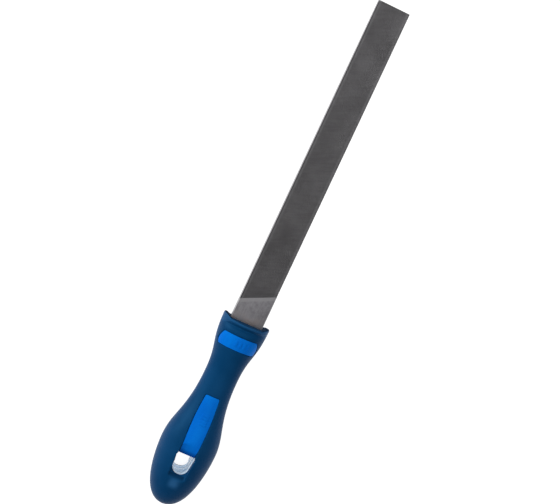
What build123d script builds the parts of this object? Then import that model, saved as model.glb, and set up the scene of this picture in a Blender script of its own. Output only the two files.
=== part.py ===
from build123d import *
import os

# A flat hand file: a toothed steel blade whose tang is driven into a two-component handle,
# a hard core with a soft grip moulded over it.
# Millimetres. The origin is the centre of the hang hole, on the tool's long axis.
# +X points to the blade's tip, +Y across the blade, +Z square to its broad faces.

# ---- blade -------------------------------------------------------------------------------
blade_reach = 203.6        # from the handle's mouth to the tip
blade_width = 20.0
blade_thick = 5.0          # over the teeth
tip_thick = 4.2            # the faces run together slightly towards the tip
taper_length = 62.0        # the stretch that thins
tooth_rise = 0.1           # the toothed faces stand this much above the bare heel
corner_chamfer = 0.4       # the tip's two corners
heel_bare = 17.0           # bare steel between the mouth and the middle of the first teeth
heel_slant = 9.4           # how much further up the first teeth start on the -Y side
heel_seat = 3.0            # full-width heel sunk in the mouth
tang_length = 60.0
tang_root = 11.0           # the tang's width at the shoulders
tang_end = 5.0             # and at its end
tang_end_thick = 3.0
shoulder_drop = 3.0        # the shoulders slope back by this much

# ---- handle ------------------------------------------------------------------------------
handle_length = 121.0      # from the mouth to the butt
hole_from_butt = 29.2      # the hang hole's centre
collar_side = 4.75         # the collar is this much wider than the blade on each side
neck_width = 20.8
belly_width = 35.0
belly_depth = 26.0         # the handle is oval: this is the belly's size along Z
neck_from_mouth = 35.0
belly_from_butt = 39.0
# How far each curve of the side holds its end's direction, as shares of its own run.
collar_pull = 0.55
neck_pull = 0.47
swell_start_pull = 0.58
swell_end_pull = 0.31
belly_pull = 0.27
butt_pull = 0.86           # of the belly's half width

ear_rise = 1.8             # the mouth's two side ears stand this far forward
ear_top = 1.5              # the width of an ear's top
rim_sweep = 4.7            # the rim sweeps up to an ear over this width
end_skin = 1.2             # soft cover over the core at the mouth
heel_wall = 1.2            # core beside the sunk heel
core_y_share = 0.74        # the core bar's half width, of the handle's at neck and belly
core_z_share = 0.36        # the core bar's half depth, of the handle's half width
core_from_butt = 8.0       # soft cover behind the core
core_end_width = 13.0
window_sink = 0.2          # the core's bright panels lie this much below the cover

# ---- windows in the cover, front and back ------------------------------------------------
band_from_mouth = 7.8      # the transverse panel in the collar
band_length = 8.5
band_width = 20.4          # at its front edge
band_bulge = 1.6           # each side bows out by this much
strip_length = 37.8        # the long panel that runs down to the hang hole
strip_width = 8.8          # at its front end
strip_swell = 11.0         # at its widest
strip_swell_from_hole = 20.0
strip_end_width = 9.8      # where it meets the hang hole

# ---- hang hole ---------------------------------------------------------------------------
hole_length = 13.1
hole_front_width = 11.8
hole_back_width = 9.8
hole_back_radius = 4.7
hole_front_radius = 0.8
scoop_width = 10.7         # the hollow across each broad side, which the hole opens into
scoop_radius = 26.0        # seen from the side it is an arc
scoop_floor = 8.2          # the arc's lowest point, above the handle's middle plane

fit_gap = 0.1              # clearance all round the tang and the heel in their socket

mouth_x = handle_length - hole_from_butt
tip_x = mouth_x + blade_reach
butt_x = -hole_from_butt
heel_thick = blade_thick - 2 * tooth_rise
neck_x = mouth_x - neck_from_mouth
belly_x = butt_x + belly_from_butt
collar_width = blade_width + 2 * collar_side
depth_ratio = belly_depth / belly_width


def handle_form(front_x, inset):
    """Make the handle's oval outer form from front_x to the butt, moved inwards by inset."""
    end_x = butt_x + inset
    collar, neck, belly = (width / 2 - inset for width in (collar_width, neck_width, belly_width))
    narrowing, swell, rounding = front_x - neck_x, neck_x - belly_x, belly_x - end_x
    with BuildPart() as form:
        with BuildSketch(Plane.XY):
            with BuildLine():
                Bezier(
                    (front_x, collar),
                    (front_x - collar_pull * narrowing, collar),
                    (neck_x + neck_pull * narrowing, neck),
                    (neck_x, neck),
                )
                Bezier(
                    (neck_x, neck),
                    (neck_x - swell_start_pull * swell, neck),
                    (belly_x + swell_end_pull * swell, belly),
                    (belly_x, belly),
                )
                Bezier(
                    (belly_x, belly),
                    (belly_x - belly_pull * rounding, belly),
                    (end_x, butt_pull * belly),
                    (end_x, 0),
                )
                Polyline((end_x, 0), (front_x, 0), (front_x, collar))
            make_face()
        revolve(axis=Axis.X)
        scale(by=(1, 1, depth_ratio))
    return form.part


def mouth_notch():
    """Make the notch between the collar's two ears, down to the mouth's rim."""
    ear_inner = collar_width / 2 - ear_top
    rim_straight = ear_inner - rim_sweep
    sweep_radius = (rim_sweep**2 + ear_rise**2) / (2 * ear_rise)
    ear_x = mouth_x + ear_rise
    clear_x = ear_x + ear_rise
    with BuildPart() as notch:
        with BuildSketch(Plane.XY):
            with BuildLine():
                Line((mouth_x, 0), (mouth_x, rim_straight))
                RadiusArc((mouth_x, rim_straight), (ear_x, ear_inner), -sweep_radius)
                Polyline((ear_x, ear_inner), (clear_x, ear_inner), (clear_x, 0), (mouth_x, 0))
            make_face()
            mirror(about=Plane.XZ)
        extrude(amount=collar_width, both=True)
    return notch.part


def blade_outline(gap):
    """Make the heel's and the tang's outline, seen along Z, with gap added all round."""
    seat_x = mouth_x - heel_seat
    with BuildSketch(Plane.XY) as plan:
        with BuildLine():
            Polyline(
                (mouth_x + heel_seat, 0),
                (mouth_x + heel_seat, blade_width / 2 + gap),
                (seat_x - gap, blade_width / 2 + gap),
                (seat_x - shoulder_drop - gap, tang_root / 2 + gap),
                (seat_x - tang_length - gap, tang_end / 2 + gap),
                (seat_x - tang_length - gap, 0),
                close=True,
            )
        make_face()
        mirror(about=Plane.XZ)
    return plan.sketch


def tang_side(gap):
    """Make the heel's and the tang's outline, seen along Y, with gap added all round."""
    seat_x = mouth_x - heel_seat
    with BuildSketch(Plane.XZ) as side:
        with BuildLine():
            Polyline(
                (mouth_x + heel_seat, -heel_thick / 2 - gap),
                (mouth_x + heel_seat, heel_thick / 2 + gap),
                (seat_x - shoulder_drop - gap, heel_thick / 2 + gap),
                (seat_x - tang_length - gap, tang_end_thick / 2 + gap),
                (seat_x - tang_length - gap, -tang_end_thick / 2 - gap),
                (seat_x - shoulder_drop - gap, -heel_thick / 2 - gap),
                close=True,
            )
        make_face()
    return side.sketch


def tang_body(gap):
    """Make the sunk heel and tang as one body, larger by gap all round."""
    with BuildPart() as body:
        extrude(blade_outline(gap), amount=blade_width, both=True)
        extrude(tang_side(gap), amount=blade_width, both=True, mode=Mode.INTERSECT)
    return body.part


def window_prisms():
    """Make the footprints of the core's bright panels, through both broad sides."""
    band_front = mouth_x - band_from_mouth
    band_back = band_front - band_length
    band_half = band_width / 2
    strip_back = hole_length / 2
    strip_front = strip_back + strip_length
    with BuildPart() as prisms:
        with BuildSketch(Plane.XY):
            with BuildLine():
                Line((band_front, 0), (band_front, band_half))
                ThreePointArc(
                    (band_front, band_half),
                    ((band_front + band_back) / 2, band_half + band_bulge),
                    (band_back, band_half + band_bulge / 2),
                )
                Polyline((band_back, band_half + band_bulge / 2), (band_back, 0), (band_front, 0))
            make_face()
            with BuildLine():
                Line((strip_front, 0), (strip_front, strip_width / 2))
                ThreePointArc(
                    (strip_front, strip_width / 2),
                    (strip_back + strip_swell_from_hole, strip_swell / 2),
                    (strip_back, strip_end_width / 2),
                )
                Polyline((strip_back, strip_end_width / 2), (0, strip_end_width / 2), (0, 0),
                         (strip_front, 0))
            make_face()
            mirror(about=Plane.XZ)
        extrude(amount=belly_depth, both=True)
    return prisms.part


def core_blank():
    """Make the room the core fills: a flat-sided bar inside the cover, and the windows."""
    stations = (
        (mouth_x - end_skin, blade_width / 2 + fit_gap + heel_wall, core_z_share * collar_width / 2),
        (neck_x, core_y_share * neck_width / 2, core_z_share * neck_width / 2),
        (belly_x, core_y_share * belly_width / 2, core_z_share * belly_width / 2),
        (butt_x + core_from_butt, core_end_width / 2, core_end_width / 2 * depth_ratio),
    )
    plan = [(x, half_y) for x, half_y, _ in stations] + [(x, -half_y) for x, half_y, _ in stations[::-1]]
    side = [(x, half_z) for x, _, half_z in stations] + [(x, -half_z) for x, _, half_z in stations[::-1]]
    with BuildPart() as bar:
        with BuildSketch(Plane.XY):
            with BuildLine():
                Polyline(*plan, close=True)
            make_face()
        extrude(amount=belly_depth, both=True)
        with BuildSketch(Plane.XZ):
            with BuildLine():
                Polyline(*side, close=True)
            make_face()
        extrude(amount=belly_width, both=True, mode=Mode.INTERSECT)
        add(window_prisms())
    return bar.part


def hang_hole():
    """Make the hang hole: square to the front, round to the back, through the handle."""
    front, back = hole_length / 2, -hole_length / 2
    with BuildPart() as hole:
        with BuildSketch(Plane.XY) as plan:
            with BuildLine():
                Polyline(
                    (front, hole_front_width / 2),
                    (back, hole_back_width / 2),
                    (back, -hole_back_width / 2),
                    (front, -hole_front_width / 2),
                    close=True,
                )
            make_face()
            fillet(plan.vertices().group_by(Axis.X)[0], hole_back_radius)
            fillet(plan.vertices().group_by(Axis.X)[-1], hole_front_radius)
        extrude(amount=belly_depth, both=True)
    return hole.part


def scoops():
    """Make the hollow across both broad sides that the hang hole opens into."""
    with BuildPart() as hollows:
        with BuildSketch(Plane.XZ):
            with Locations((0, scoop_floor + scoop_radius)):
                Circle(scoop_radius)
        extrude(amount=scoop_width / 2, both=True)
        mirror(about=Plane.XY)
    return hollows.part


socket = tang_body(fit_gap)
hole_body = hang_hole()
hollows = scoops()
core_room = core_blank()

# The core: a bar under the cover, with panels that rise nearly to the surface in the windows.
with BuildPart() as handle_core:
    add(handle_form(mouth_x - end_skin, window_sink))
    add(core_room, mode=Mode.INTERSECT)
    add(socket, mode=Mode.SUBTRACT)
    add(hole_body, mode=Mode.SUBTRACT)
    add(hollows, mode=Mode.SUBTRACT)
handle_core.part.label = "handle_core"

# The cover: everything between the core and the handle's outer form.
with BuildPart() as grip_cover:
    add(handle_form(mouth_x + ear_rise, 0))
    add(mouth_notch(), mode=Mode.SUBTRACT)
    add(core_room, mode=Mode.SUBTRACT)
    add(socket, mode=Mode.SUBTRACT)
    add(hole_body, mode=Mode.SUBTRACT)
    add(hollows, mode=Mode.SUBTRACT)
grip_cover.part.label = "grip_cover"

# The blade: toothed stretch, bare heel and tang, forged in one piece.
first_tooth_x = mouth_x + heel_bare
taper_x = tip_x - taper_length
with BuildPart() as file_blade:
    with BuildSketch(Plane.XY):
        with BuildLine():
            Polyline(
                (mouth_x, -blade_width / 2),
                (mouth_x, blade_width / 2),
                (first_tooth_x - heel_slant / 2, blade_width / 2),
                (first_tooth_x + heel_slant / 2, -blade_width / 2),
                close=True,
            )
        make_face()
    extrude(amount=heel_thick / 2, both=True)
    with BuildSketch(Plane.XY):
        with BuildLine():
            Polyline(
                (first_tooth_x + heel_slant / 2, -blade_width / 2),
                (first_tooth_x - heel_slant / 2, blade_width / 2),
                (tip_x - corner_chamfer, blade_width / 2),
                (tip_x, blade_width / 2 - corner_chamfer),
                (tip_x, -blade_width / 2 + corner_chamfer),
                (tip_x - corner_chamfer, -blade_width / 2),
                close=True,
            )
        make_face()
    extrude(amount=blade_thick / 2, both=True)
    with BuildSketch(Plane.XZ):
        with BuildLine():
            Polyline(
                (mouth_x, -blade_thick / 2),
                (mouth_x, blade_thick / 2),
                (taper_x, blade_thick / 2),
                (tip_x, tip_thick / 2),
                (tip_x, -tip_thick / 2),
                (taper_x, -blade_thick / 2),
                close=True,
            )
        make_face()
    extrude(amount=blade_width, both=True, mode=Mode.INTERSECT)
    add(tang_body(0))
file_blade.part.label = "file_blade"

os.makedirs("parts", exist_ok=True)
export_step(handle_core.part, "parts/handle_core.step")
export_step(grip_cover.part, "parts/grip_cover.step")
export_step(file_blade.part, "parts/file_blade.step")
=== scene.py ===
"""Looks of a flat hand file: cut steel blade, hard bright core, soft dark grip moulded over it."""

import logging
import math
from collections.abc import Callable, Iterator, Sequence
from contextlib import contextmanager
from dataclasses import dataclass
from enum import Enum

import bmesh
import bpy
from mathutils import Matrix, Vector


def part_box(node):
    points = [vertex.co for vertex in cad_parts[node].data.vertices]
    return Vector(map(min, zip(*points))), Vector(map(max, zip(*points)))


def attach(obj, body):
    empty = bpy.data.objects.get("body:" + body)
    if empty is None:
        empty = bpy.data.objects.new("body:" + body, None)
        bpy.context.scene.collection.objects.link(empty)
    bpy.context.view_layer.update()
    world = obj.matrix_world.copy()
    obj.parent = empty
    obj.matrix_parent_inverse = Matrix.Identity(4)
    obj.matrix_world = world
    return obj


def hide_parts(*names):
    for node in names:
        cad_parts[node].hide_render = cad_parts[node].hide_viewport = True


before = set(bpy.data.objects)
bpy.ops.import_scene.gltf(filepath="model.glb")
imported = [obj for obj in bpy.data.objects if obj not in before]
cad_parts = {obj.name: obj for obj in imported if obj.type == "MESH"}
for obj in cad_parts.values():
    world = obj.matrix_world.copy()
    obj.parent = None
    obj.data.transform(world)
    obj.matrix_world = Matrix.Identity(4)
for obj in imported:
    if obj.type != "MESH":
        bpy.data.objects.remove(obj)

LOG = logging.getLogger("flat_file")
MM = 0.001
BELLY_DEPTH = 26 * MM
Point = tuple[float, float]
Triple = tuple[float, float, float]
HAIR = 1e-6   # closeness that counts as touching, in metres
SHARP = 50    # angle between faces that counts as an edge, in degrees


# ---- modelling bench ---------------------------------------------------------------------------


class Carve(Enum):
    """What a carving body does to the piece."""

    CUT = "DIFFERENCE"
    KEEP = "INTERSECT"
    JOIN = "UNION"


def clear_selection() -> None:
    """Leave edit mode and deselect every object."""
    if bpy.context.mode != "OBJECT":
        bpy.ops.object.mode_set(mode="OBJECT")
    bpy.ops.object.select_all(action="DESELECT")


def activate(piece: bpy.types.Object) -> None:
    """Make the piece the only selected object and the active one.

    Args:
        piece: The object.
    """
    clear_selection()
    piece.select_set(True)
    bpy.context.view_layer.objects.active = piece


@contextmanager
def editing(piece: bpy.types.Object) -> Iterator[bpy.types.Object]:
    """Work on the piece in edit mode.

    Args:
        piece: The mesh object to edit.

    Returns:
        The piece, while edit mode lasts.
    """
    activate(piece)
    bpy.ops.object.mode_set(mode="EDIT")
    yield piece
    bpy.ops.object.mode_set(mode="OBJECT")


def pick(piece: bpy.types.Object, rule: Callable[[Vector], bool]) -> int:
    """Select in edit mode every vertex that the rule accepts, and what lies between them.

    Args:
        piece: The mesh object in edit mode.
        rule: Says for a place whether it is wanted.

    Returns:
        How many vertices were selected.
    """
    bpy.ops.mesh.select_all(action="DESELECT")
    bpy.ops.mesh.select_mode(type="VERT")
    mesh = bmesh.from_edit_mesh(piece.data)
    chosen = [vertex for vertex in mesh.verts if rule(vertex.co)]
    for vertex in chosen:
        vertex.select_set(True)
    mesh.select_flush(True)
    bmesh.update_edit_mesh(piece.data)
    return len(chosen)


def settle(piece: bpy.types.Object, name: str) -> bpy.types.Object:
    """Name a new piece and put its place into its mesh.

    Args:
        piece: The new mesh object.
        name: Its name.

    Returns:
        The piece, at the origin, unturned and unscaled.
    """
    activate(piece)
    bpy.ops.object.transform_apply(location=True, rotation=True, scale=True)
    piece.name = name
    piece.data.name = name
    return piece


def extrude(move: Triple) -> None:
    """Extrude what is selected in edit mode by the move."""
    bpy.ops.mesh.extrude_region_move(TRANSFORM_OT_translate={"value": move})


def resize(shares: Triple, centre: Triple) -> None:
    """Scale what is selected in edit mode about the centre."""
    bpy.ops.transform.resize(value=shares, center_override=centre)


def face_outward() -> None:
    """Turn every face of the piece in edit mode outward."""
    bpy.ops.mesh.select_all(action="SELECT")
    bpy.ops.mesh.normals_make_consistent(inside=False)


def block(name: str, low: Triple, high: Triple) -> bpy.types.Object:
    """Make a block between two corners.

    Args:
        name: Its name.
        low: The corner with the lowest coordinates.
        high: The corner with the highest coordinates.

    Returns:
        The block.
    """
    clear_selection()
    middle = [(a + b) / 2 for a, b in zip(low, high)]
    bpy.ops.mesh.primitive_cube_add(size=1, location=middle)
    piece = bpy.context.active_object
    piece.scale = [b - a for a, b in zip(low, high)]
    return settle(piece, name)


def plate(name: str, outline: Sequence[Point], low: float, high: float) -> bpy.types.Object:
    """Make a plate with an outline seen along Z.

    Args:
        name: Its name.
        outline: The outline's points, in order round it.
        low: The height of its lower face.
        high: The height of its upper face.

    Returns:
        The plate, closed.
    """
    clear_selection()
    bpy.ops.mesh.primitive_circle_add(vertices=len(outline), radius=1, fill_type="NGON")
    piece = settle(bpy.context.active_object, name)
    for vertex, (x, y) in zip(piece.data.vertices, outline):
        vertex.co = (x, y, low)
    with editing(piece):
        bpy.ops.mesh.select_all(action="SELECT")
        extrude((0, 0, high - low))
        face_outward()
    return piece


def roller(name: str, centre: Triple, semi: Point, width: float, sides: int) -> bpy.types.Object:
    """Make an oval roller that lies along Y.

    Args:
        name: Its name.
        centre: Its middle.
        semi: Its half sizes along X and Z.
        width: Its length along Y.
        sides: How many sides it has.

    Returns:
        The roller.
    """
    clear_selection()
    bpy.ops.mesh.primitive_cylinder_add(vertices=sides, radius=1, depth=1, location=centre,
                                        rotation=(math.pi / 2, 0, 0))
    piece = bpy.context.active_object
    piece.scale = (semi[0], semi[1], width)
    return settle(piece, name)


def apply_modifier(piece: bpy.types.Object, kind: str, settings: dict[str, object]) -> None:
    """Add a modifier to the piece, set it and apply it.

    Args:
        piece: The mesh object.
        kind: The modifier's type.
        settings: Its settings.
    """
    activate(piece)
    modifier = piece.modifiers.new(kind.title(), kind)
    for key, value in settings.items():
        setattr(modifier, key, value)
    bpy.ops.object.modifier_apply(modifier=modifier.name)


def round_edges(piece: bpy.types.Object, width: float, segments: int) -> None:
    """Round the piece's sharp edges.

    Args:
        piece: The mesh object.
        width: How wide the rounding is.
        segments: How many steps it has.
    """
    apply_modifier(piece, "BEVEL", {"width": width, "segments": segments, "limit_method": "ANGLE",
                                    "angle_limit": math.radians(SHARP)})


def carve(piece: bpy.types.Object, tool: bpy.types.Object, how: Carve = Carve.CUT) -> None:
    """Carve the piece with a tool body, and throw the tool away.

    Args:
        piece: The mesh object that changes.
        tool: The body that cuts, limits or joins it.
        how: Which of those it does.
    """
    apply_modifier(piece, "BOOLEAN", {"operation": how.value, "solver": "EXACT", "object": tool})
    bpy.data.objects.remove(tool)


def join(name: str, pieces: Sequence[bpy.types.Object]) -> bpy.types.Object:
    """Join pieces into one object.

    Args:
        name: The name of the whole.
        pieces: The mesh objects, the first of which takes in the others.

    Returns:
        The joined piece.
    """
    activate(pieces[0])
    for piece in pieces[1:]:
        piece.select_set(True)
    bpy.ops.object.join()
    pieces[0].name = name
    pieces[0].data.name = name
    return pieces[0]


def smooth(piece: bpy.types.Object, degrees: float) -> None:
    """Shade the piece smooth, with edges sharper than the angle kept crisp."""
    activate(piece)
    bpy.ops.object.shade_smooth_by_angle(angle=math.radians(degrees))


# ---- shading bench -----------------------------------------------------------------------------


class Value:
    """A shader output that takes part in arithmetic."""

    def __init__(self, shop: "Shading", socket: bpy.types.NodeSocket) -> None:
        """Wrap a socket of the shop's material."""
        self.shop = shop
        self.socket = socket

    def _math(self, operation: str, first: "Value | float", second: "Value | float") -> "Value":
        """Return a Math node's result."""
        return self.shop.node("ShaderNodeMath", {"operation": operation}, {0: first, 1: second})

    def __add__(self, other: "Value | float") -> "Value":
        """Return the sum."""
        return self._math("ADD", self, other)

    __radd__ = __add__

    def __sub__(self, other: "Value | float") -> "Value":
        """Return the difference."""
        return self._math("SUBTRACT", self, other)

    def __rsub__(self, other: "Value | float") -> "Value":
        """Return the difference, the other way round."""
        return self._math("SUBTRACT", other, self)

    def __mul__(self, other: "Value | float") -> "Value":
        """Return the product."""
        return self._math("MULTIPLY", self, other)

    __rmul__ = __mul__

    def __truediv__(self, other: "Value | float") -> "Value":
        """Return the quotient."""
        return self._math("DIVIDE", self, other)

    def __abs__(self) -> "Value":
        """Return the size without its sign."""
        return self._math("ABSOLUTE", self, 0.0)

    def step(self, low: float, high: float) -> "Value":
        """Rise softly from 0 to 1.

        Args:
            low: The value up to which the result is 0.
            high: The value from which it is 1.

        Returns:
            The stepped value.
        """
        return self.shop.node(
            "ShaderNodeMapRange", {"interpolation_type": "SMOOTHSTEP", "clamp": True},
            {0: self, 1: low, 2: high, 3: 0.0, 4: 1.0},
        )

    def between(self, rise: Point, fall: Point) -> "Value":
        """Return 1 between a soft rise and a soft fall, and 0 outside them."""
        return self.step(*rise) * (1.0 - self.step(*fall))


class Shading:
    """A material's node tree, with its principled shader."""

    def __init__(self, name: str) -> None:
        """Make a material with a plain shader.

        Args:
            name: The material's name.
        """
        self.material = bpy.data.materials.new(name)
        self.material.use_nodes = True
        self.tree = self.material.node_tree
        self.shader = self.tree.nodes["Principled BSDF"]

    def node(self, kind: str, settings: dict[str, object] | None = None,
             inputs: dict[str | int, object] | None = None, output: str | int = 0) -> Value:
        """Make a node.

        Args:
            kind: The node's type.
            settings: What is set on the node itself, first.
            inputs: Values or links of its sockets.
            output: Which output is wanted.

        Returns:
            That output.
        """
        node = self.tree.nodes.new(kind)
        for key, value in (settings or {}).items():
            if key == "stops":
                self._set_stops(node.color_ramp, value)
            else:
                setattr(node, key, value)
        for key, value in (inputs or {}).items():
            self._feed(node.inputs[key], value)
        return Value(self, node.outputs[output])

    @staticmethod
    def _set_stops(ramp: bpy.types.ColorRamp, stops: Sequence[tuple[float, Sequence[float]]]) -> None:
        """Set a ramp's stops.

        Args:
            ramp: The ramp.
            stops: Its stops, each a place and a colour.
        """
        while len(ramp.elements) < len(stops):
            ramp.elements.new(1.0)
        for element, (place, colour) in zip(ramp.elements, stops):
            element.position = place
            element.color = (*colour, 1.0)

    def _feed(self, socket: bpy.types.NodeSocket, value: object) -> None:
        """Link a value to a socket, or set the socket.

        Args:
            socket: The socket.
            value: An output to link, or a number or colour.
        """
        if isinstance(value, Value):
            self.tree.links.new(value.socket, socket)
        elif socket.type == "RGBA" and isinstance(value, (tuple, list)):
            socket.default_value = (*value[:3], 1.0)
        else:
            socket.default_value = value

    def set(self, **values: object) -> None:
        """Set or link the shader's own sockets, named with underscores for spaces."""
        for key, value in values.items():
            self._feed(self.shader.inputs[key.replace("_", " ")], value)

    def place(self, turn: float = 0.0, stretch: Triple = (1, 1, 1)) -> Value:
        """Read Object coordinates, turned and then stretched.

        Args:
            turn: The turn about Z, in degrees.
            stretch: The scale along each axis.

        Returns:
            The coordinates.
        """
        here = self.node("ShaderNodeTexCoord", output="Object")
        turned = self.node("ShaderNodeMapping", {}, {"Vector": here, "Rotation": (0, 0, math.radians(turn))})
        return self.node("ShaderNodeMapping", {}, {"Vector": turned, "Scale": stretch})

    def axis(self, name: str) -> Value:
        """Return one Object coordinate, in metres."""
        here = self.node("ShaderNodeTexCoord", output="Object")
        return self.node("ShaderNodeSeparateXYZ", {}, {0: here}, name)

    def noise(self, size: float, detail: float = 3.0, rough: float = 0.5,
              place: Value | None = None) -> Value:
        """Make noise from 0 to 1.

        Args:
            size: The size of its grains, in metres.
            detail: How many finer layers it has.
            rough: How strong they are.
            place: The coordinates it reads, or the plain Object ones.

        Returns:
            The noise.
        """
        return self.node(
            "ShaderNodeTexNoise", {},
            {"Vector": place or self.place(), "Scale": 1 / size, "Detail": detail, "Roughness": rough},
        )

    def mix(self, factor: Value | float, first: object, second: object) -> Value:
        """Return a colour between two colours."""
        return self.node("ShaderNodeMix", {"data_type": "RGBA"}, {0: factor, 6: first, 7: second}, 2)

    def bump(self, height: Value, distance: float, strength: float = 1.0,
             under: Value | None = None) -> Value:
        """Raise the surface's normal.

        Args:
            height: The relief, from 0 to 1.
            distance: What 1 is worth, in metres.
            strength: How strongly it shows.
            under: Another raised normal, which it lies over.

        Returns:
            The normal.
        """
        inputs = {"Height": height, "Distance": distance, "Strength": strength}
        if under is not None:
            inputs["Normal"] = under
        return self.node("ShaderNodeBump", {}, inputs)


@dataclass(frozen=True)
class CutSteel:
    """The hardened, cut faces: dark, with a soft metallic sheen."""

    dark: Triple = (0.128, 0.125, 0.129)
    light: Triple = (0.190, 0.186, 0.192)
    worn: Triple = (0.260, 0.255, 0.262)
    edge: Triple = (0.045, 0.045, 0.048)
    cloud_size: float = 14 * MM
    streak_size: float = 1.2 * MM
    grain_size: float = 0.25 * MM
    row_turn: float = 67.0
    track_rise: Point = (7.6 * MM, 8.6 * MM)
    track_fall: Point = (8.9 * MM, 9.6 * MM)
    dark_border: Point = (9.0 * MM, 9.8 * MM)
    worn_border: Point = (9.3 * MM, 9.8 * MM)

    def make(self) -> bpy.types.Material:
        """Mix the finish.

        Returns:
            The material.
        """
        shop = Shading("cut_steel")
        cloud = shop.noise(self.cloud_size, 3)
        streak = shop.noise(self.streak_size, 4, 0.6, shop.place(self.row_turn, (0.12, 1, 1)))
        grain = shop.noise(self.grain_size, 2)
        tone = cloud * 0.45 + streak * 0.35 + grain * 0.2
        across = shop.axis("Y")
        track = abs(across).between(self.track_rise, self.track_fall)
        lightened = (0.0 - across).step(*self.worn_border)
        steel = shop.mix(tone.step(0.3, 0.7), self.dark, self.light)
        steel = shop.mix(track * 0.45 + lightened * 0.5, steel, self.worn)
        shop.set(
            Base_Color=shop.mix(across.step(*self.dark_border) * 0.6, steel, self.edge),
            Metallic=0.85,
            Roughness=0.38 + 0.2 * streak,
            Normal=shop.bump(grain, 0.01 * MM, 0.6),
        )
        return shop.material


@dataclass(frozen=True)
class ForgedSteel:
    """The bare heel and the edges: grey, mottled by the forge, browned near the handle, with painted light
    near the mouth where the collar's shade falls.
    """

    heel_x: float
    scale_grey: Triple = (0.132, 0.128, 0.138)
    worn_grey: Triple = (0.205, 0.200, 0.212)
    brown: Triple = (0.300, 0.215, 0.165)
    swept: Triple = (0.215, 0.212, 0.219)
    # painted light: the grey the heel takes near the mouth, against the collar's shade
    painted_light_grey: Triple = (0.270, 0.264, 0.280)
    polished: Triple = (0.340, 0.335, 0.347)
    bare: float = 17 * MM
    slant: float = 9.4 * MM
    width: float = 20 * MM
    mottle_size: float = 2.6 * MM
    patch_size: float = 7 * MM
    scratch_size: float = 0.8 * MM
    pit_size: float = 0.45 * MM
    browned: float = 9 * MM
    swept_band: Point = (2.2 * MM, 2.8 * MM)
    border: Point = (9.6 * MM, 9.85 * MM)

    def make(self) -> bpy.types.Material:
        """Mix the finish.

        Returns:
            The material.
        """
        shop = Shading("forged_steel")
        along, across = shop.axis("X"), shop.axis("Y")
        mottle = shop.noise(self.mottle_size, 6, 0.62)
        patch = shop.noise(self.patch_size, 3)
        scratch = shop.noise(self.scratch_size, 3, 0.6, shop.place(0, (0.06, 1, 1)))
        pits = shop.noise(self.pit_size, 2)
        grey = shop.mix((mottle * 0.7 + scratch * 0.3).step(0.32, 0.68), self.scale_grey, self.worn_grey)
        near = 1.0 - along.step(self.heel_x, self.heel_x + self.browned)
        behind = self.heel_x + self.bare - across * (self.slant / self.width) - along
        swept = (1.0 - behind.step(*self.swept_band)) * (0.5 + 0.3 * scratch)
        # painted light: the grey is made lighter near the mouth, where the collar's shade falls
        grey = shop.mix(near * 0.55, grey, self.painted_light_grey)
        colour = shop.mix(near * patch.step(0.35, 0.7) * 0.35, grey, self.brown)
        colour = shop.mix(swept, colour, self.swept)
        colour = shop.mix(abs(across).step(*self.border), colour, self.polished)
        relief = shop.bump(mottle, 0.06 * MM, 0.5)
        shop.set(
            Base_Color=colour,
            Metallic=0.8,
            Roughness=0.36 + 0.26 * mottle,
            Normal=shop.bump(pits, 0.02 * MM, 0.5, relief),
        )
        return shop.material


@dataclass(frozen=True)
class PaintedBoreReflection:
    """The wall of the hang hole: glossy, with a pale painted reflection."""

    # painted reflection: the pale colour of the hole's wall
    painted_reflection_tint: Triple = (0.70, 0.84, 0.96)
    along: Point = (6.80 * MM, 7.15 * MM)
    beside: Point = (6.3 * MM, 6.7 * MM)
    height: Point = (7.8 * MM, 8.6 * MM)

    def mask(self, shop: Shading) -> Value:
        """Return 1 on the wall of the hole and 0 elsewhere in the shop's material."""
        near, beside, deep = (
            1.0 - abs(shop.axis(name)).step(*fade)
            for name, fade in zip("XYZ", (self.along, self.beside, self.height))
        )
        return near * beside * deep


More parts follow.
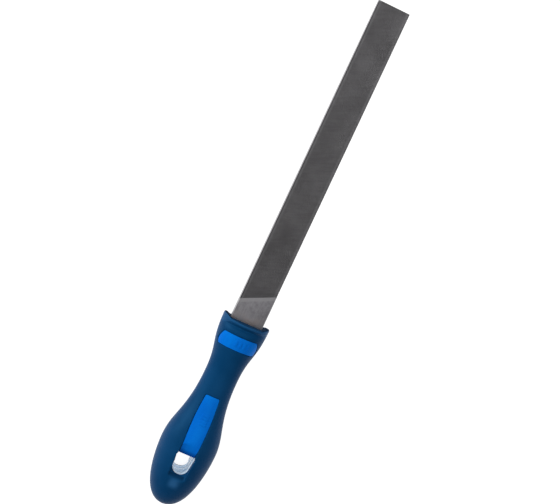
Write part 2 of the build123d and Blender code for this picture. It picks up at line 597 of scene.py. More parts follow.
@dataclass(frozen=True)
class SoftGrip:
    """The dark blue overmould: rubbery, fine-grained, with painted highlights at the rim and behind the hang
    hole, and painted shade on the end face and behind the hole.
    """

    mouth_x: float
    deep: Triple = (0.0008, 0.036, 0.112)
    pale: Triple = (0.0030, 0.047, 0.138)
    # painted shade: the colour of the end face round the mouth
    end_face_shade: Triple = (0.0004, 0.013, 0.042)
    shaded: Triple = (0.0002, 0.014, 0.052)
    # painted highlight: the colour of the rim and of the hollow's slope behind the hole
    painted_highlight_blue: Triple = (0.024, 0.115, 0.280)
    bore: PaintedBoreReflection = PaintedBoreReflection()
    cloud_size: float = 16 * MM
    grain_size: float = 0.28 * MM
    scuff_size: float = 5 * MM
    end_from_mouth: Point = (3 * MM, 2 * MM)
    rim_from_mouth: Point = (1.9 * MM, 0.9 * MM)
    rim_flare: float = 2.5 * MM
    channel: Point = (3.6 * MM, 5.6 * MM)
    crescent_rise: Point = (6.3 * MM, 6.8 * MM)
    crescent_fall: Point = (7.4 * MM, 9.6 * MM)
    patch_from_hole: float = 12.4 * MM
    patch_along: Point = (0.5 * MM, 4.4 * MM)
    patch_across: Point = (0.5 * MM, 4.6 * MM)

    def make(self) -> bpy.types.Material:
        """Mix the finish.

        Returns:
            The material.
        """
        shop = Shading("soft_grip")
        cloud = shop.noise(self.cloud_size, 3)
        grain = shop.noise(self.grain_size, 3, 0.6)
        scuff = shop.noise(self.scuff_size, 4, 0.6)
        bore = self.bore.mask(shop)
        along, across = shop.axis("X"), abs(shop.axis("Y"))
        end = self._end(shop, along)
        skin = shop.mix((cloud * 0.7 + grain * 0.3).step(0.3, 0.72), self.deep, self.pale)
        skin = shop.mix(self._crescent(along, across) * 0.75, skin, self.shaded)
        # painted highlights: a patch on the hollow's slope behind the hole, and the rim round the mouth
        lightened = self._highlight_patch(along, across) * 0.75 + self._rim_highlight(along, across) * 0.34
        skin = shop.mix(lightened, skin, self.painted_highlight_blue)
        # painted shade on the end face round the mouth, deeper at the ears
        skin = shop.mix(end * (0.55 + 0.45 * across.step(8.5 * MM, 10.5 * MM)), skin, self.end_face_shade)
        shop.set(
            # painted reflection on the wall of the hang hole
            Base_Color=shop.mix(bore, skin, self.bore.painted_reflection_tint),
            Roughness=(0.40 + 0.14 * scuff + 0.5 * end) * (1.0 - 0.8 * bore),
            Normal=shop.bump(grain, 0.025 * MM, 0.55),
            Specular_IOR_Level=0.20,
            Specular_Tint=(0.15, 0.55, 1.0),
        )
        return shop.material

    def _end(self, shop: Shading, along: Value) -> Value:
        """Mask the end face round the mouth, which takes painted shade.

        Args:
            shop: The material that is being made.
            along: The place along the handle.

        Returns:
            1 on the end face and 0 elsewhere.
        """
        normal = shop.node("ShaderNodeTexCoord", output="Normal")
        facing = shop.node("ShaderNodeSeparateXYZ", {}, {0: normal}, "X")
        start, full = (self.mouth_x - back for back in self.end_from_mouth)
        return facing.step(0.55, 0.85) * along.step(start, full)

    def _rim_highlight(self, along: Value, across: Value) -> Value:
        """Mask the painted highlight along the rim, which is deeper at the ears.

        Args:
            along: The place along the handle.
            across: The distance from the middle line.

        Returns:
            1 on the rim and 0 elsewhere.
        """
        start, full = (self.mouth_x - back for back in self.rim_from_mouth)
        return (along + across.step(9 * MM, 14 * MM) * self.rim_flare).step(start, full)

    def _crescent(self, along: Value, across: Value) -> Value:
        """Mask the dark crescent behind the hang hole.

        Args:
            along: The place along the handle.
            across: The distance from the middle line.

        Returns:
            1 in the crescent and 0 elsewhere.
        """
        behind = 0.0 - along
        return behind.between(self.crescent_rise, self.crescent_fall) * (1.0 - across.step(*self.channel))

    def _highlight_patch(self, along: Value, across: Value) -> Value:
        """Mask the painted highlight patch on the hollow's slope.

        Args:
            along: The place along the handle.
            across: The distance from the middle line.

        Returns:
            1 in the middle of the patch, fading to 0 round it.
        """
        away = abs(0.0 - along - self.patch_from_hole)
        return (1.0 - away.step(*self.patch_along)) * (1.0 - across.step(*self.patch_across))


@dataclass(frozen=True)
class MouldedCore:
    """The bright blue hard plastic: satin, with faint flow marks, darker where it ends at the hole."""

    deep: Triple = (0.0004, 0.128, 0.59)
    bright: Triple = (0.0010, 0.176, 0.70)
    shaded: Triple = (0.0002, 0.036, 0.240)
    bore: PaintedBoreReflection = PaintedBoreReflection()
    flow_size: float = 9 * MM
    grain_size: float = 0.35 * MM
    scuff_size: float = 1.1 * MM
    lip_rise: Point = (6.2 * MM, 6.5 * MM)
    lip_fall: Point = (7.0 * MM, 10.5 * MM)

    def make(self) -> bpy.types.Material:
        """Mix the finish.

        Returns:
            The material.
        """
        shop = Shading("moulded_core")
        flow = shop.noise(self.flow_size, 3, 0.5, shop.place(0, (0.35, 1, 1)))
        grain = shop.noise(self.grain_size, 2)
        scuff = shop.noise(self.scuff_size, 4, 0.6)
        bore = self.bore.mask(shop)
        lip = shop.axis("X").between(self.lip_rise, self.lip_fall)
        skin = shop.mix((flow * 0.8 + grain * 0.2).step(0.3, 0.7), self.deep, self.bright)
        skin = shop.mix(lip * 0.8, skin, self.shaded)
        shop.set(
            # painted reflection on the wall of the hang hole
            Base_Color=shop.mix(bore, skin, self.bore.painted_reflection_tint),
            Roughness=(0.30 + 0.14 * scuff) * (1.0 - 0.7 * bore),
            Normal=shop.bump(grain, 0.008 * MM, 0.4),
            Specular_IOR_Level=0.15,
            Specular_Tint=(0.1, 0.55, 1.0),
        )
        return shop.material


@dataclass(frozen=True)
class PaleTable:
    """The table: plain, pale and lit from below a little."""

    tone: Triple = (0.40, 0.40, 0.40)
    cloud: Triple = (0.50, 0.50, 0.50)
    cloud_size: float = 60 * MM
    glow: float = 0.88

    def make(self) -> bpy.types.Material:
        """Mix the finish.

        Returns:
            The material.
        """
        shop = Shading("pale_table")
        shop.set(
            Base_Color=shop.mix(shop.noise(self.cloud_size, 2) * 0.15, self.tone, self.cloud),
            Roughness=0.7,
            Emission_Color=(1.0, 1.0, 1.0),
            Emission_Strength=self.glow,
        )
        return shop.material


# ---- the handle --------------------------------------------------------------------------------


def bezier(ends: Sequence[Point], steps: int) -> list[Point]:
    """Return points along a cubic curve.

    Args:
        ends: Its four control points.
        steps: How many points to give, without the first.

    Returns:
        The points, in order.
    """
    points = []
    for index in range(1, steps + 1):
        t = index / steps
        shares = ((1 - t) ** 3, 3 * (1 - t) ** 2 * t, 3 * (1 - t) * t**2, t**3)
        points.append(tuple(sum(share * end[k] for share, end in zip(shares, ends)) for k in (0, 1)))
    return points


@dataclass
class HandleShape:
    """The handle's outer form, windows, hang hole and hollows, in metres."""

    butt_x: float
    mouth_x: float
    belly_half: float
    belly_depth: float
    blade_half: float
    neck_half: float = 10.4 * MM
    collar_side: float = 4.75 * MM
    neck_from_mouth: float = 35 * MM
    belly_from_butt: float = 39 * MM
    pulls: Sequence[float] = (0.55, 0.47, 0.58, 0.31, 0.27, 0.86)
    ear_rise: float = 1.8 * MM
    ear_top: float = 1.8 * MM
    rim_sweep: float = 4.7 * MM
    band_from_mouth: float = 7.8 * MM
    band_length: float = 8.5 * MM
    band_half: float = 10.2 * MM
    band_bulge: float = 1.6 * MM
    strip_length: float = 37.8 * MM
    strip_half: float = 4.4 * MM
    strip_swell: float = 5.5 * MM
    strip_swell_from_hole: float = 20 * MM
    strip_end_half: float = 4.9 * MM
    hole_half: float = 6.55 * MM
    hole_front_half: float = 5.9 * MM
    hole_back_half: float = 4.9 * MM
    hole_back_radius: float = 4.7 * MM
    scoop_half: float = 5.35 * MM
    scoop_reach: float = 17.5 * MM
    scoop_floor: float = 8.2 * MM
    scoop_foot: float = 0.9 * MM
    lip_from_mouth: float = 3.2 * MM
    lip_depth: float = 0.14
    lip_width: float = 1.25 * MM
    panel_corner: float = 0.5 * MM
    hole_corner: float = 0.8 * MM
    band_steps: int = 12
    strip_steps: int = 24
    hole_steps: int = 12
    rim_steps: int = 20
    scoop_steps: int = 48
    ring_sides: int = 128
    ring_steps: int = 34

    def __post_init__(self) -> None:
        """Work out the places that follow from the sizes."""
        self.neck_x = self.mouth_x - self.neck_from_mouth
        self.belly_x = self.butt_x + self.belly_from_butt
        self.collar_half = self.blade_half + self.collar_side
        self.depth_ratio = self.belly_depth / 2 / self.belly_half
        self.reach = self.belly_half * 2

    def outline(self, front_x: float, inset: float) -> list[Point]:
        """Return places along the axis with the form's half width there.

        Args:
            front_x: Where the form ends in front.
            inset: How far the form lies inside the handle's surface.

        Returns:
            The stations, from front to butt.
        """
        collar, neck, belly = (half - inset for half in (self.collar_half, self.neck_half, self.belly_half))
        end_x = self.butt_x + inset
        narrowing, swell, rounding = front_x - self.neck_x, self.neck_x - self.belly_x, self.belly_x - end_x
        pulls = self.pulls
        front = ((front_x, collar), (front_x - pulls[0] * narrowing, collar),
                 (self.neck_x + pulls[1] * narrowing, neck), (self.neck_x, neck))
        middle = ((self.neck_x, neck), (self.neck_x - pulls[2] * swell, neck),
                  (self.belly_x + pulls[3] * swell, belly), (self.belly_x, belly))
        back = ((self.belly_x, belly), (self.belly_x - pulls[4] * rounding, belly),
                (end_x, pulls[5] * belly), (end_x, 0.0))
        stations = [(front_x, collar)]
        for ends in (front, middle, back):
            stations += bezier(ends, self.ring_steps)
        return stations

    def lip(self, x: float) -> float:
        """Say how the groove behind the lip thins the form.

        Args:
            x: The place along the handle.

        Returns:
            The share of the form's depth that is left there.
        """
        off = (x - self.mouth_x + self.lip_from_mouth) / self.lip_width
        return 1 - self.lip_depth * math.exp(-off * off)

    def form(self, name: str, front_x: float, inset: float) -> bpy.types.Object:
        """Turn the outline into the oval form, ring by ring.

        Args:
            name: The form's name.
            front_x: Where it ends in front.
            inset: How far it lies inside the handle's surface.

        Returns:
            The closed form.
        """
        stations = self.outline(front_x, inset)
        clear_selection()
        bpy.ops.mesh.primitive_circle_add(vertices=self.ring_sides, radius=1, fill_type="NOTHING",
                                          location=(front_x, 0, 0), rotation=(0, math.pi / 2, 0))
        piece = settle(bpy.context.active_object, name)
        start = stations[0][1]
        with editing(piece):
            bpy.ops.mesh.select_all(action="SELECT")
            resize((1, start, start * self.depth_ratio), (front_x, 0, 0))
            bpy.ops.mesh.edge_face_add()
            for (x, half), (next_x, next_half) in zip(stations, stations[1:-1]):
                extrude((next_x - x, 0, 0))
                share = next_half / half
                deep = share * self.lip(next_x) / self.lip(x)
                resize((1, share, deep), (next_x, 0, 0))
            end_x = stations[-1][0]
            extrude((end_x - stations[-2][0], 0, 0))
            bpy.ops.mesh.merge(type="CENTER")
            face_outward()
        return piece

    def bar(self, name: str, front: Point, share: float, back: Point, depth: float) -> bpy.types.Object:
        """Make the hidden bar along the handle, or the room for it.

        Args:
            name: Its name.
            front: Its front end's distance from the mouth and its margin over the blade's half width.
            share: Its width at neck and belly, as a share of the handle's.
            back: Its back end's distance from the butt and its half width there.
            depth: Its half depth.

        Returns:
            The bar.
        """
        stations = (
            (self.mouth_x - front[0], self.blade_half + front[1]),
            (self.neck_x, share * self.neck_half),
            (self.belly_x, share * self.belly_half),
            (self.butt_x + back[0], back[1]),
        )
        return plate(name, self.mirrored(stations), -depth, depth)

    def mirrored(self, half: Sequence[Point]) -> list[Point]:
        """Return a whole outline from the half on the +Y side, front to back."""
        return list(half) + [(x, -y) for x, y in reversed(half)]

    def band(self, gap: float) -> list[Point]:
        """Draw the panel across the collar.

        Args:
            gap: How much smaller the outline is all round.

        Returns:
            The outline.
        """
        front = self.mouth_x - self.band_from_mouth
        half = []
        for index in range(self.band_steps + 1):
            t = index / self.band_steps
            side = self.band_half + self.band_bulge * math.sin(math.pi * (0.06 + 0.74 * t))
            half.append((front - gap - t * (self.band_length - 2 * gap), side - gap))
        corner = self.panel_corner
        half[0] = (half[0][0], half[0][1] - corner)
        half.insert(1, (half[0][0] - corner * 0.35, half[0][1] + corner * 0.7))
        half[-1] = (half[-1][0], half[-1][1] - corner)
        half.insert(-1, (half[-1][0] + corner * 0.35, half[-1][1] + corner * 0.7))
        return self.mirrored(half)

    def strip(self, gap: float) -> list[Point]:
        """Draw the long panel, which runs into the hang hole.

        Args:
            gap: How much smaller the outline is at its front and sides.

        Returns:
            The outline.
        """
        peak = 1 - self.strip_swell_from_hole / self.strip_length
        half = []
        for index in range(self.strip_steps + 1):
            t = index / self.strip_steps
            x = self.hole_half + self.strip_length * (1 - t)
            if t < peak:
                share = math.sin(math.pi / 2 * t / peak)
                side = self.strip_half + (self.strip_swell - self.strip_half) * share
            else:
                share = 1 - math.cos(math.pi / 2 * (t - peak) / (1 - peak))
                side = self.strip_swell + (self.strip_end_half - self.strip_swell) * share
            half.append((x - (gap if index == 0 else 0), side - gap))
        half.append((0.0, self.strip_end_half - gap))
        corner = self.panel_corner
        half[0] = (half[0][0], half[0][1] - corner)
        half.insert(1, (half[0][0] - corner, half[0][1] + corner))
        return self.mirrored(half)

    def hole(self) -> list[Point]:
        """Draw the hang hole, square in front and round behind.

        Returns:
            The outline.
        """
        front, wide, corner = self.hole_half, self.hole_front_half, self.hole_corner
        radius, narrow = self.hole_back_radius, self.hole_back_half
        half = [(front, wide - corner), (front - corner * 0.3, wide - corner * 0.3), (front - corner, wide)]
        for index in range(self.hole_steps + 1):
            turn = math.pi / 2 * index / self.hole_steps
            half.append((-self.hole_half + radius - radius * math.sin(turn),
                         narrow - radius + radius * math.cos(turn)))
        return self.mirrored(half)

    def notch(self) -> bpy.types.Object:
        """Make the body that cuts the mouth between the two ears.

        Returns:
            The body, rounded where it meets the ears.
        """
        radius = (self.rim_sweep**2 + self.ear_rise**2) / (2 * self.ear_rise)
        straight = self.collar_half - self.ear_top - self.rim_sweep
        half = straight + radius
        tool = block("notch", (self.mouth_x, -half, -self.reach),
                     (self.mouth_x + 2 * radius, half, self.reach))
        with editing(tool):
            bpy.ops.mesh.select_all(action="DESELECT")
            bpy.ops.mesh.select_mode(type="EDGE")
            mesh = bmesh.from_edit_mesh(tool.data)
            for edge in mesh.edges:
                along_z = abs(edge.verts[0].co.z - edge.verts[1].co.z) > self.reach
                edge.select_set(along_z and edge.verts[0].co.x < self.mouth_x + HAIR)
            bmesh.update_edit_mesh(tool.data)
            bpy.ops.mesh.bevel(offset=radius, segments=self.rim_steps, affect="EDGES")
        return tool

    def open_up(self, piece: bpy.types.Object) -> None:
        """Cut the hang hole and the two hollows that it opens into.

        Args:
            piece: The mesh object that is cut.
        """
        carve(piece, plate("hole_tool", self.hole(), -self.reach, self.reach))
        for side in (1, -1):
            carve(piece, self._scoop(side))

    def _scoop(self, side: int) -> bpy.types.Object:
        """Return the body that hollows one broad side, bell-shaped seen from the side.

        Args:
            side: 1 for the upper side, -1 for the lower.

        Returns:
            The body, with rounded feet.
        """
        top = self.belly_depth / 2
        bell = [(self.scoop_reach, self.reach), (-self.scoop_reach, self.reach)]
        for index in range(self.scoop_steps + 1):
            turn = math.pi * (2 * index / self.scoop_steps - 1)
            x = self.scoop_reach * turn / math.pi
            bell.append((x, top - (top - self.scoop_floor) * (1 + math.cos(turn)) / 2))
        tool = plate("scoop_tool", bell, -self.scoop_half, self.scoop_half)
        for vertex in tool.data.vertices:
            x, z, y = vertex.co
            vertex.co = (x, y, side * z)
        with editing(tool):
            face_outward()
        round_edges(tool, self.scoop_foot, 3)
        return tool


@dataclass
class GripCover:
    """The soft cover: flared collar with two ears, windows, hang hole."""

    shape: HandleShape
    dome_semi: Point = (75 * MM, 46 * MM)
    dome_sides: int = 256
    room_front: Point = (1.2 * MM, 1.3 * MM)
    room_back: Point = (8 * MM, 6.5 * MM)
    room_share: float = 0.74
    room_depth: float = 3.7 * MM
    slot_depth: float = 4 * MM
    slot_half: float = 2.55 * MM
    slot_gap: float = 0.15 * MM
    voxel: float = 0.45 * MM
    smoothing: int = 5

    def build(self) -> bpy.types.Object:
        """Build the cover.

        Returns:
            The finished mesh object.
        """
        shape = self.shape
        front = shape.mouth_x + shape.ear_rise
        cover = shape.form("grip_cover_soft", front, 0.0)
        carve(cover, shape.notch())
        semi_x, semi_z = self.dome_semi
        carve(cover, roller("dome", (front - semi_x, 0, 0), (semi_x, semi_z), shape.reach, self.dome_sides),
              Carve.KEEP)
        carve(cover, plate("band_window", shape.band(0), -shape.reach, shape.reach))
        carve(cover, plate("strip_window", shape.strip(0), -shape.reach, shape.reach))
        carve(cover, shape.bar("core_room", self.room_front, self.room_share, self.room_back,
                               self.room_depth))
        slot_side = shape.blade_half + self.slot_gap
        carve(cover, block("slot", (shape.mouth_x - self.slot_depth, -slot_side, -self.slot_half),
                           (front + MM, slot_side, self.slot_half)))
        shape.open_up(cover)
        apply_modifier(cover, "REMESH", {"mode": "VOXEL", "voxel_size": self.voxel, "adaptivity": 0.0})
        apply_modifier(cover, "SMOOTH", {"factor": 0.5, "iterations": self.smoothing})
        smooth(cover, 60)
        return cover

    def dress(self, cover: bpy.types.Object) -> None:
        """Give the cover its finish and its place in the frame.

        Args:
            cover: The finished mesh object.
        """
        cover.data.materials.clear()
        cover.data.materials.append(SoftGrip(self.shape.mouth_x).make())
        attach(cover, "handle")
        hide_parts("grip_cover")


@dataclass
class HandleCore:
    """The hard core: a bar in the cover, with bright panels and plain raised marks."""

    shape: HandleShape
    sink: float = 0.32 * MM
    seam: float = 0.06 * MM
    relief: float = 0.22 * MM
    bar_front: Point = (1.3 * MM, 1.2 * MM)
    bar_back: Point = (8.1 * MM, 6.4 * MM)
    bar_share: float = 0.73
    bar_depth: float = 3.6 * MM
    socket: Triple = (64 * MM, 5.6 * MM, 2.5 * MM)
    edge_round: float = 0.18 * MM
    mark_count: int = 4
    band_mark: Point = (1.7 * MM, 0.7 * MM)
    band_mark_first: float = -6.4 * MM
    band_mark_step: float = 2.6 * MM
    strip_mark: Point = (0.55 * MM, 2.2 * MM)
    strip_mark_first: Point = (32.6 * MM, -0.6 * MM)
    strip_mark_step: float = 1.9 * MM

    def build(self) -> bpy.types.Object:
        """Build the core.

        Returns:
            The finished mesh object.
        """
        shape = self.shape
        front = shape.mouth_x - self.bar_front[0]
        deep, side, high = self.socket
        core = shape.form("handle_core_hard", front, self.sink)
        carve(core, self._room(), Carve.KEEP)
        marks = shape.form("marks", front, self.sink - self.relief)
        carve(marks, self._bars(), Carve.KEEP)
        carve(core, marks, Carve.JOIN)
        carve(core, block("socket", (shape.mouth_x - deep, -side, -high), (front + MM, side, high)))
        shape.open_up(core)
        round_edges(core, self.edge_round, 2)
        smooth(core, 40)
        return core

    def _room(self) -> bpy.types.Object:
        """Make the body the core is cut to: the bar and both panels.

        Returns:
            The body.
        """
        shape = self.shape
        room = shape.bar("bar", self.bar_front, self.bar_share, self.bar_back, self.bar_depth)
        carve(room, plate("band_panel", shape.band(self.seam), -shape.reach, shape.reach), Carve.JOIN)
        carve(room, plate("strip_panel", shape.strip(self.seam), -shape.reach, shape.reach), Carve.JOIN)
        return room

    def _bars(self) -> bpy.types.Object:
        """Make plain upright bars where the panels carry raised marks.

        Returns:
            The bars, on both sides of the handle.
        """
        shape = self.shape
        band_x = shape.mouth_x - shape.band_from_mouth - shape.band_length / 2
        strip_x, strip_y = self.strip_mark_first
        places = [(band_x, k * self.band_mark_step + self.band_mark_first, *self.band_mark)
                  for k in range(self.mark_count)]
        places += [(strip_x - k * self.strip_mark_step, strip_y, *self.strip_mark)
                   for k in range(self.mark_count)]
        bars = []
        for x, y, half_x, half_y in places:
            for side in (1, -1):
                low, high = sorted((side * 6 * MM, side * shape.reach))
                bars.append(block("bar", (x - half_x, y - half_y, low), (x + half_x, y + half_y, high)))
        return join("bars", bars)

    def dress(self, core: bpy.types.Object) -> None:
        """Give the core its finish and its place in the frame.

        Args:
            core: The finished mesh object.
        """
        core.data.materials.clear()
        core.data.materials.append(MouldedCore().make())
        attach(core, "handle")
        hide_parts("handle_core")


# ---- the blade ---------------------------------------------------------------------------------


@dataclass
class Blade:
    """The steel blade: the forging and its two cut faces, in metres."""

    mouth_x: float
    tip_x: float
    half_width: float
    half_thick: float
    tip_half: float = 2.1 * MM
    taper: float = 62 * MM
    bare_left: float = 12.3 * MM
    bare_right: float = 21.7 * MM
    tooth_depth: float = 0.26 * MM
    tooth_base: float = 0.15 * MM
    row_step: Triple = (-0.225 * MM, 0.537 * MM, 0.0)
    file_step: Triple = (0.651 * MM, -0.02 * MM, 0.0)
    tooth_lean: float = 0.34
    lattice_lead: float = 3.75 * MM
    lattice_side: float = 1.5 * MM
    lattice_spare: Point = (14 * MM, 10 * MM)
    land: float = 0.12 * MM
    heel_drop: float = 0.1 * MM
    heel_seat: float = 3 * MM
    shoulder: float = 3 * MM
    tang: float = 57 * MM
    tang_width: Point = (11 * MM, 5 * MM)
    tang_thick: Point = (4.8 * MM, 3 * MM)
    edge_round: float = 0.22 * MM

    def __post_init__(self) -> None:
        """Work out the places that follow from the sizes."""
        self.taper_x = self.tip_x - self.taper
        self.left_x = self.mouth_x + self.bare_left
        self.right_x = self.mouth_x + self.bare_right
        self.core_half = self.half_thick - self.tooth_depth - self.tooth_base

    def lean(self, piece: bpy.types.Object) -> None:
        """Bring what lies past the start of the taper nearer the middle plane.

        Args:
            piece: The mesh object.
        """
        drop = (self.half_thick - self.tip_half) / self.taper
        for vertex in piece.data.vertices:
            past = max(0.0, vertex.co.x - self.taper_x)
            vertex.co.z -= math.copysign(past * drop, vertex.co.z) if past else 0.0

    def build_forging(self) -> bpy.types.Object:
        """Build the heel, the tang and the body under the teeth.

        Returns:
            The finished mesh object.
        """
        heel_half = self.half_thick - self.heel_drop
        seat_x = self.mouth_x - self.heel_seat
        steel = block("blade_forging", (seat_x, -self.half_width, -heel_half),
                      (self.right_x, self.half_width, heel_half))
        with editing(steel):
            pick(steel, lambda place: place.x > self.mouth_x and place.y > 0)
            bpy.ops.transform.translate(value=(self.left_x - self.right_x, 0, 0))
            pick(steel, lambda place: place.x > self.mouth_x)
            narrow = (self.half_width - self.land) / self.half_width
            thin = (self.core_half + self.tooth_base) / heel_half
            extrude((0, 0, 0))
            resize((1, narrow, thin), (self.right_x, 0, 0))
            extrude((self.taper_x - self.right_x, 0, 0))
            resize((0, 1, 1), (self.taper_x, 0, 0))
            extrude((self.taper, 0, 0))
            pick(steel, lambda place: place.x < seat_x + HAIR)
            for move, width, depth in self._tang_steps():
                extrude((-move, 0, 0))
                resize((1, width, depth), (seat_x - move, 0, 0))
            face_outward()
        self.lean(steel)
        round_edges(steel, self.edge_round, 3)
        smooth(steel, 35)
        return steel

    def _tang_steps(self) -> Sequence[Triple]:
        """Work out the two lengths of the tang.

        Returns:
            For each, how far back it goes, and how much it narrows and thins.
        """
        (wide, narrow), (thick, thin) = self.tang_width, self.tang_thick
        return ((self.shoulder, wide / (2 * self.half_width), 1.0), (self.tang, narrow / wide, thin / thick))

    def build_cut(self, name: str, side: int) -> bpy.types.Object:
        """Build one cut face: pointed teeth on a skewed lattice, trimmed and closed.

        Args:
            name: The piece's name.
            side: 1 for the upper face, -1 for the lower.

        Returns:
            The finished mesh object.
        """
        low = self.half_thick - self.tooth_depth
        spare_along, spare_across = self.lattice_spare
        across = math.ceil((2 * self.half_width + spare_across) / self.row_step[1])
        along = math.ceil((self.tip_x - self.left_x + spare_along) / self.file_step[0])
        start = Vector((self.left_x - self.lattice_lead, -self.half_width - self.lattice_side, low))
        clear_selection()
        bpy.ops.mesh.primitive_plane_add(size=1, location=(0, 0, 0))
        teeth = settle(bpy.context.active_object, name)
        row, line = Vector(self.row_step), Vector(self.file_step)
        for vertex, corner in zip(teeth.data.vertices, (Vector(), line, row, line + row)):
            vertex.co = start + corner
        with editing(teeth):
            bpy.ops.mesh.select_all(action="SELECT")
            bpy.ops.mesh.poke(offset=0)
            middle = start + (row + line) / 2
            pick(teeth, lambda place: (place - middle).length < 0.05 * MM)
            bpy.ops.transform.translate(value=(line.x * self.tooth_lean, 0, self.tooth_depth))
        for step, count in ((self.row_step, across), (self.file_step, along)):
            apply_modifier(teeth, "ARRAY", {
                "count": count, "use_relative_offset": False, "use_constant_offset": True,
                "constant_offset_displace": step, "use_merge_vertices": True, "merge_threshold": 0.02 * MM,
            })
        self._trim(teeth)
        self._close(teeth, low - self.tooth_base)
        self.lean(teeth)
        if side < 0:
            with editing(teeth):
                bpy.ops.mesh.select_all(action="SELECT")
                resize((1, 1, -1), (0, 0, 0))
                face_outward()
        return teeth

    def _trim(self, teeth: bpy.types.Object) -> None:
        """Trim the field of teeth to the blade's outline.

        Args:
            teeth: The field.
        """
        inner = self.half_width - self.land
        slant = Vector((self.right_x - self.left_x, -2 * self.half_width, 0))
        across = Vector((-slant.y, slant.x, 0)).normalized()
        planes = (
            (Vector((0, inner, 0)), Vector((0, 1, 0))),
            (Vector((0, -inner, 0)), Vector((0, -1, 0))),
            (Vector((self.tip_x - self.land, 0, 0)), Vector((1, 0, 0))),
            (Vector((self.left_x, self.half_width, 0)), -across),
        )
        for place, normal in planes:
            with editing(teeth):
                bpy.ops.mesh.select_all(action="SELECT")
                bpy.ops.mesh.bisect(plane_co=place, plane_no=normal, clear_outer=True, use_fill=False,
                                    threshold=0.0001 * MM)

    def _close(self, teeth: bpy.types.Object, base: float) -> None:
        """Give the field of teeth side walls and a flat underside.

        Args:
            teeth: The field.
            base: The height of the underside.
        """
        with editing(teeth):
            bpy.ops.mesh.select_mode(type="EDGE")
            bpy.ops.mesh.select_all(action="DESELECT")
            bpy.ops.mesh.select_non_manifold(extend=False, use_wire=False, use_boundary=True,
                                             use_multi_face=False, use_non_contiguous=False, use_verts=False)
            extrude((0, 0, 0))
            resize((1, 1, 0), (0, 0, base))
            bpy.ops.mesh.edge_face_add()
            face_outward()

    def dress(self, piece: bpy.types.Object, finish: bpy.types.Material) -> None:
        """Give a piece of the blade its finish and its place in the frame.

        Args:
            piece: The finished mesh object.
            finish: Its material.
        """
        piece.data.materials.clear()
        piece.data.materials.append(finish)
        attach(piece, "blade")
        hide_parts("file_blade")


# ---- the studio --------------------------------------------------------------------------------


@dataclass(frozen=True)
class Lamp:
    """A square soft lamp: its place from the aim, as rightwards, upwards and above."""

    name: str
    offset: Triple
    size: float
    power: float


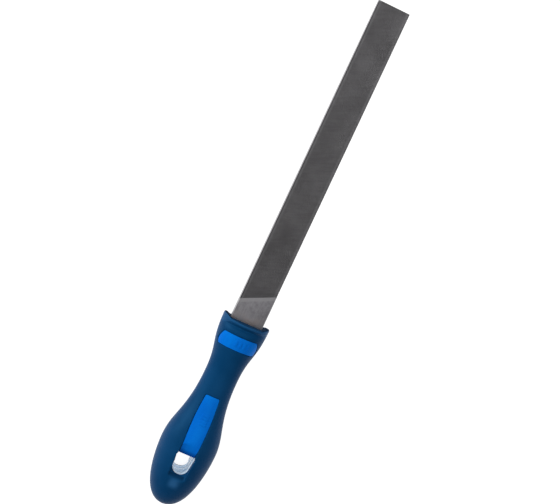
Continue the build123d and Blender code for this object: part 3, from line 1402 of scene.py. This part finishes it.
@dataclass
class Studio:
    """Pale table, soft lights and the camera."""

    table_z: float
    aim: Triple = (138.6 * MM, -0.4 * MM, 0.0)
    lean: float = -2.6
    turn: float = -65.27
    tilt: float = -7.03
    roll: float = -2.71
    distance: float = 0.70
    lens: float = 76.2
    sensor: float = 36
    lamps: Sequence[Lamp] = (
        Lamp("key", (-0.95, 0.75, 0.65), 0.6, 12.5),
        Lamp("fill", (0.15, 0.1, 0.95), 1.0, 3.9),
    )
    table_size: float = 40.0
    world_light: float = 0.28
    wall_light: float = 1.0

    def build(self) -> None:
        """Build the table, the lights and the camera."""
        self._table()
        self._world()
        for lamp in self.lamps:
            self._hang(lamp)
        self._camera()

    def _table(self) -> None:
        """Lay the table under the handle."""
        clear_selection()
        bpy.ops.mesh.primitive_plane_add(size=self.table_size, location=(*self.aim[:2], self.table_z))
        table = settle(bpy.context.active_object, "table")
        table.data.materials.append(PaleTable().make())

    def _world(self) -> None:
        """Fill the room with soft white light, and show its far walls as pale as the table."""
        world = bpy.data.worlds.new("room")
        world.use_nodes = True
        tree = world.node_tree
        background = tree.nodes["Background"]
        background.inputs["Color"].default_value = (1.0, 1.0, 1.0, 1.0)
        seen = tree.nodes.new("ShaderNodeLightPath")
        strength = tree.nodes.new("ShaderNodeMapRange")
        strength.inputs["To Min"].default_value = self.world_light
        strength.inputs["To Max"].default_value = self.wall_light
        tree.links.new(seen.outputs["Is Camera Ray"], strength.inputs["Value"])
        tree.links.new(strength.outputs["Result"], background.inputs["Strength"])
        bpy.context.scene.world = world
        bpy.context.scene.view_settings.view_transform = "Standard"

    def _hang(self, lamp: Lamp) -> None:
        """Hang a lamp so that it looks at the file.

        Args:
            lamp: The lamp.
        """
        turned = Matrix.Rotation(math.radians(self.turn), 4, "Z")
        place = Vector(self.aim) + turned @ Vector(lamp.offset)
        light = bpy.data.lights.new(lamp.name, "AREA")
        light.size = lamp.size
        light.energy = lamp.power
        holder = bpy.data.objects.new(lamp.name, light)
        holder.location = place
        holder.rotation_euler = (Vector(self.aim) - place).to_track_quat("-Z", "Y").to_euler()
        bpy.context.scene.collection.objects.link(holder)

    def _camera(self) -> None:
        """Set up the camera over the file."""
        turned = (Matrix.Rotation(math.radians(self.lean), 4, "X")
                  @ Matrix.Rotation(math.radians(self.turn), 4, "Z")
                  @ Matrix.Rotation(math.radians(self.tilt), 4, "X")
                  @ Matrix.Rotation(math.radians(self.roll), 4, "Y"))
        camera = bpy.data.cameras.new("camera")
        camera.lens = self.lens
        camera.sensor_width = self.sensor
        holder = bpy.data.objects.new("camera", camera)
        away = Matrix.Translation((0, 0, self.distance))
        holder.matrix_world = Matrix.Translation(self.aim) @ turned @ away
        bpy.context.scene.collection.objects.link(holder)
        bpy.context.scene.camera = holder


# ---- the whole ---------------------------------------------------------------------------------


def report(piece: bpy.types.Object) -> None:
    """Log the piece's name and how many faces it has."""
    LOG.info("%s: %d faces", piece.name, len(piece.data.polygons))


def main() -> None:
    """Build the file and its studio, and log each piece's face count."""
    logging.basicConfig(level=logging.INFO, format="%(name)s: %(message)s")
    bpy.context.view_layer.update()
    (butt_x, _, _), (ear_x, belly_half, _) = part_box("grip_cover")
    _, (tip_x, blade_half, blade_half_thick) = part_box("file_blade")
    shape = HandleShape(butt_x, ear_x - HandleShape.ear_rise, belly_half, BELLY_DEPTH, blade_half)
    for maker in (GripCover(shape), HandleCore(shape)):
        piece = maker.build()
        maker.dress(piece)
        report(piece)
    blade = Blade(shape.mouth_x, tip_x, blade_half, blade_half_thick)
    forging = blade.build_forging()
    blade.dress(forging, ForgedSteel(shape.mouth_x).make())
    report(forging)
    cut = CutSteel().make()
    for name, side in (("upper_cut", 1), ("lower_cut", -1)):
        teeth = blade.build_cut(name, side)
        blade.dress(teeth, cut)
        report(teeth)
    Studio(table_z=-BELLY_DEPTH / 2).build()


if __name__ == "__main__":
    main()
